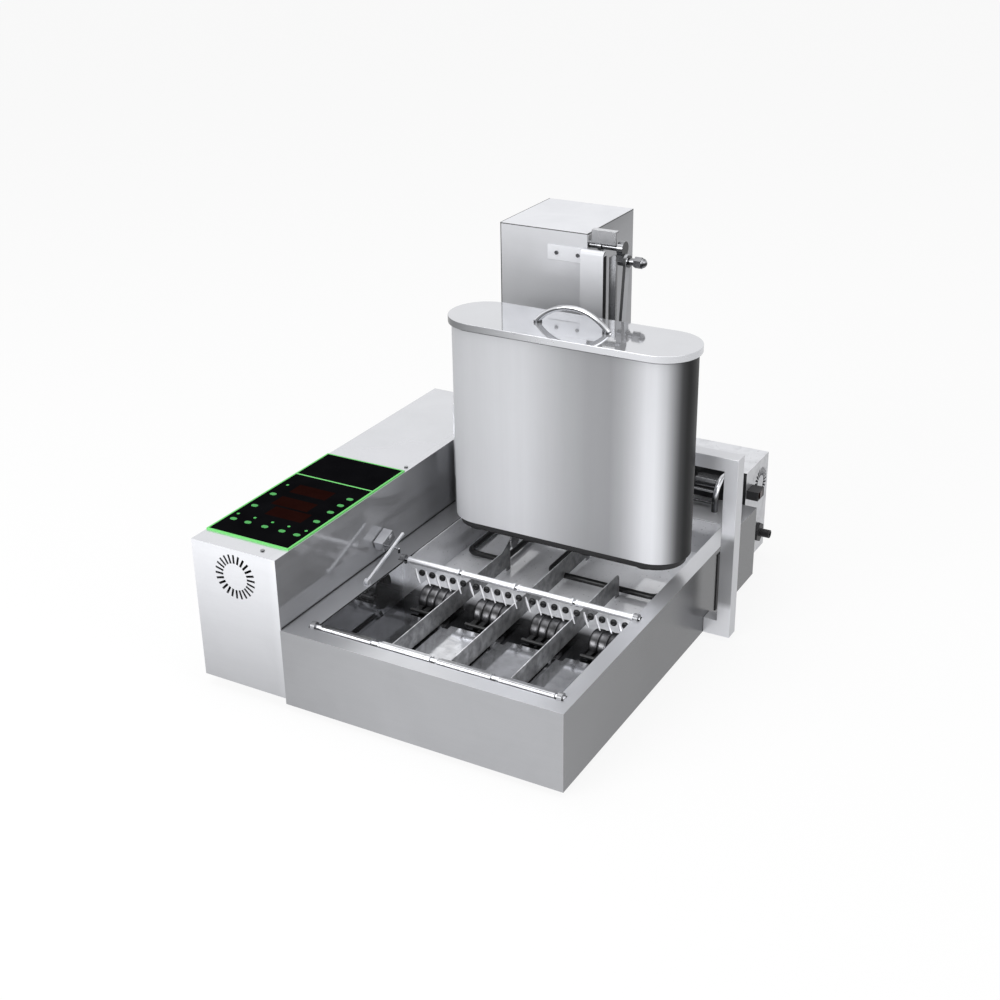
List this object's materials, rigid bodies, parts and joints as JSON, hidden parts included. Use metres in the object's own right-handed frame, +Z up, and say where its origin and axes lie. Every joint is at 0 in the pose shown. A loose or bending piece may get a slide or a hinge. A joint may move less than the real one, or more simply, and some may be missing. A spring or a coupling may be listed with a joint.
{
  "type": "automatic ring cake fryer",
  "caption": "Counter-top automatic ring cake fryer: oil pan with lanes, batter hopper on a gate frame, crank-driven dosing tower, and control box.",
  "frame": {"origin": "centre of the bounding box, on the plane that the feet stand on", "axes": "+X to the right as the user faces the front, +Y to the back along the lanes, +Z up"},
  "size_m": [0.5504, 0.6762, 0.5122],
  "materials": {
    "satin_steel": "satin stainless sheet",
    "pan_steel": "bright stainless sheet",
    "polished_steel": "polished stainless",
    "heater_steel": "dull dark stainless",
    "screw_steel": "plated steel",
    "black_rubber": "matte",
    "panel_black": "glossy film, green line",
    "display_red": "dark red window",
    "key_plastic": "membrane key",
    "led_red": "clear red dome",
    "board_green": "circuit board",
    "motor_paint": "enamel",
    "fan_black": "moulded",
    "switch_black": "moulded",
    "rocker_red": "moulded"
  },
  "bodies": {
    "machine": {"tank_shell": "satin_steel", "oil_pan": "pan_steel", "rubber_feet": "black_rubber", "left_divider": "pan_steel", "plain_dividers": "pan_steel", "heater_tubes": "heater_steel", "shaft_bushes": "polished_steel", "lever_pivot": "polished_steel", "control_box_cover": "satin_steel", "box_bases": "satin_steel", "control_panel": "panel_black", "display_windows": "display_red", "indicator_leds": "led_red", "circuit_board": "board_green", "turner_motor": "motor_paint", "fan_frames": "fan_black", "gate_frame": "satin_steel", "rear_box_cover": "satin_steel", "mains_switch": "switch_black", "cable_gland": "switch_black", "terminal_rails": "pan_steel", "conduit": "polished_steel", "tower_housing": "satin_steel", "tower_deck": "satin_steel", "cover_screws": "screw_steel", "guide_cover": "polished_steel", "shaft_guard": "polished_steel", "dosing_motor": "motor_paint", "hopper": "satin_steel", "nozzle_plate": "heater_steel"},
    "lid": {"hopper_lid": "polished_steel", "lid_handle": "polished_steel"},
    "crank": {"crank_shaft": "polished_steel", "crank_arm": "polished_steel"},
    "rod": {"connecting_rod": "pan_steel"},
    "rocker": {"dosing_rocker": "heater_steel"},
    "carriage": {"sleeve_carriage": "heater_steel"},
    "turner": {"turner_shaft": "polished_steel", "turner_tubes": "polished_steel", "turner_combs": "polished_steel"},
    "discharge": {"discharge_rod": "polished_steel", "discharge_plates": "pan_steel"},
    "trip_crank": {"crank_block": "polished_steel", "crank_pins": "polished_steel"},
    "lever": {"trip_lever": "polished_steel"},
    "wheel": {"star_wheel": "polished_steel"},
    "front_fan": {"control_fan": "fan_black"},
    "back_fan": {"rear_fan": "fan_black"},
    "rocker_switch": {"switch_rocker": "rocker_red"},
    "key_1_cap": {"key_1": "key_plastic"},
    "key_2_cap": {"key_2": "key_plastic"},
    "key_3_cap": {"key_3": "key_plastic"},
    "key_4_cap": {"key_4": "key_plastic"},
    "key_5_cap": {"key_5": "key_plastic"},
    "key_6_cap": {"key_6": "key_plastic"},
    "key_7_cap": {"key_7": "key_plastic"},
    "key_8_cap": {"key_8": "key_plastic"},
    "key_9_cap": {"key_9": "key_plastic"},
    "key_10_cap": {"key_10": "key_plastic"},
    "key_11_cap": {"key_11": "key_plastic"}
  },
  "joints": [
    {"name": "lid_lift", "type": "slide", "parent": "machine", "child": "lid", "axis": [0, 0, 1], "range_m": [0, 0.06]},
    {"name": "crank_spin", "type": "hinge", "parent": "machine", "child": "crank", "pos_m": [0.0228, 0.1507, 0.4896], "axis": [1, 0, 0], "continuous": true},
    {"name": "rod_swing", "type": "hinge", "parent": "crank", "child": "rod", "pos_m": [0.0765, 0.1507, 0.474], "axis": [1, 0, 0], "continuous": true},
    {"name": "rocker_pivot", "type": "hinge", "parent": "machine", "child": "rocker", "pos_m": [0.0684, 0.064, 0.1285], "axis": [1, 0, 0], "range_deg": [0, 43.6]},
    {"name": "carriage_slide", "type": "slide", "parent": "machine", "child": "carriage", "axis": [0, 0, -1], "range_m": [0, 0.01337]},
    {"name": "turner_swing", "type": "hinge", "parent": "machine", "child": "turner", "pos_m": [0.0513, -0.1091, 0.113], "axis": [-1, 0, 0], "range_deg": [0, 265]},
    {"name": "discharge_swing", "type": "hinge", "parent": "machine", "child": "discharge", "pos_m": [0.0513, -0.3094, 0.113], "axis": [1, 0, 0], "range_deg": [0, 70]},
    {"name": "trip_crank_swing", "type": "hinge", "parent": "machine", "child": "trip_crank", "pos_m": [-0.1467, -0.1131, 0.142], "axis": [-1, 0, 0], "range_deg": [0, 50]},
    {"name": "lever_swing", "type": "hinge", "parent": "machine", "child": "lever", "pos_m": [-0.1188, -0.1921, 0.1176], "axis": [1, 0, 0], "range_deg": [0, 11]},
    {"name": "wheel_spin", "type": "hinge", "parent": "machine", "child": "wheel", "pos_m": [-0.0245, 0.0259, 0.1037], "axis": [1, 0, 0], "continuous": true},
    {"name": "front_fan_spin", "type": "hinge", "parent": "machine", "child": "front_fan", "pos_m": [-0.21132, -0.3272, 0.16992], "axis": [0, 1, 0], "continuous": true},
    {"name": "back_fan_spin", "type": "hinge", "parent": "machine", "child": "back_fan", "pos_m": [0.2109, 0.31, 0.1235], "axis": [1, 0, 0], "continuous": true},
    {"name": "switch_tilt", "type": "hinge", "parent": "machine", "child": "rocker_switch", "pos_m": [0.2324, 0.2669, 0.12751], "axis": [0, 0, -1], "range_deg": [0, 11]},
    {"name": "key_1_press", "type": "slide", "parent": "machine", "child": "key_1_cap", "axis": [0, 0, -1], "range_m": [0, 0.0004], "stiffness_N_per_m": 400},
    {"name": "key_2_press", "type": "slide", "parent": "machine", "child": "key_2_cap", "axis": [0, 0, -1], "range_m": [0, 0.0004], "stiffness_N_per_m": 400},
    {"name": "key_3_press", "type": "slide", "parent": "machine", "child": "key_3_cap", "axis": [0, 0, -1], "range_m": [0, 0.0004], "stiffness_N_per_m": 400},
    {"name": "key_4_press", "type": "slide", "parent": "machine", "child": "key_4_cap", "axis": [0, 0, -1], "range_m": [0, 0.0004], "stiffness_N_per_m": 400},
    {"name": "key_5_press", "type": "slide", "parent": "machine", "child": "key_5_cap", "axis": [0, 0, -1], "range_m": [0, 0.0004], "stiffness_N_per_m": 400},
    {"name": "key_6_press", "type": "slide", "parent": "machine", "child": "key_6_cap", "axis": [0, 0, -1], "range_m": [0, 0.0004], "stiffness_N_per_m": 400},
    {"name": "key_7_press", "type": "slide", "parent": "machine", "child": "key_7_cap", "axis": [0, 0, -1], "range_m": [0, 0.0004], "stiffness_N_per_m": 400},
    {"name": "key_8_press", "type": "slide", "parent": "machine", "child": "key_8_cap", "axis": [0, 0, -1], "range_m": [0, 0.0004], "stiffness_N_per_m": 400},
    {"name": "key_9_press", "type": "slide", "parent": "machine", "child": "key_9_cap", "axis": [0, 0, -1], "range_m": [0, 0.0004], "stiffness_N_per_m": 400},
    {"name": "key_10_press", "type": "slide", "parent": "machine", "child": "key_10_cap", "axis": [0, 0, -1], "range_m": [0, 0.0004], "stiffness_N_per_m": 400},
    {"name": "key_11_press", "type": "slide", "parent": "machine", "child": "key_11_cap", "axis": [0, 0, -1], "range_m": [0, 0.0004], "stiffness_N_per_m": 400}
  ],
  "couplings": [
    {"joint": "rod_swing", "follows": "crank_spin", "ratio": -1},
    {"joint": "rocker_pivot", "follows": "carriage_slide", "rad_per_m": 56.9},
    {"joint": "lever_swing", "follows": "trip_crank_swing", "ratio": 0.22}
  ]
}
